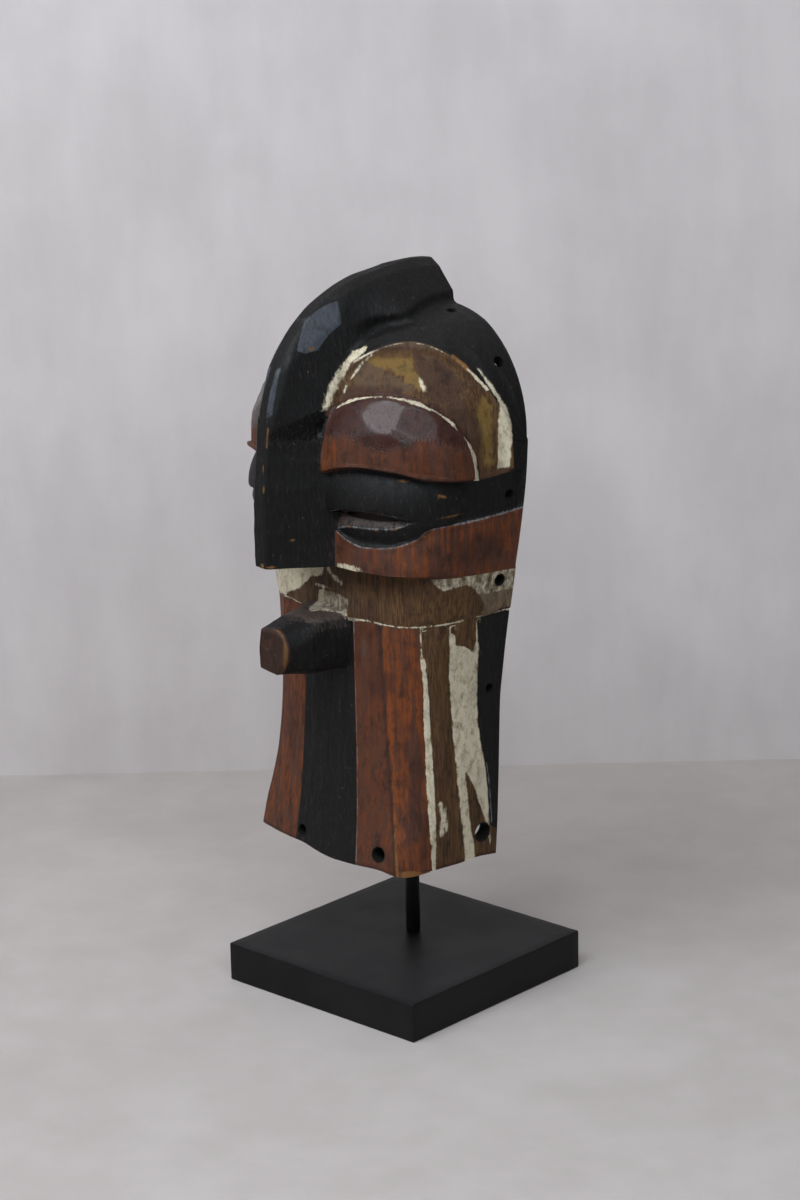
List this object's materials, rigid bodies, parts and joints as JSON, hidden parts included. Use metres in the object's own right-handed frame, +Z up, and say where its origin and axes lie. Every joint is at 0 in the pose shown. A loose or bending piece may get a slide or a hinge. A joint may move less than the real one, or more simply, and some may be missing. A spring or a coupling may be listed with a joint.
{
  "type": "carved face mask on a stand",
  "caption": "Hollow carved wooden face mask with a tall crest, domed lids, eye slits and a jutting mouth, held upright on a thin rod over a square base.",
  "frame": {"origin": "centre of the base's underside", "axes": "+Z up, X and Y along the sides of the base, the face looks towards -Y and a little towards -X"},
  "size_m": [0.1397, 0.1398, 0.3492],
  "materials": {
    "painted_wood": "old carved wood with worn black and red-brown paint, bare olive-brown patches and chalk white stripes",
    "black_steel": "satin black",
    "black_paint": "satin black paint on a board"
  },
  "bodies": {
    "root": {"mask": "painted_wood", "rod": "black_steel", "base": "black_paint"}
  },
  "joints": []
}
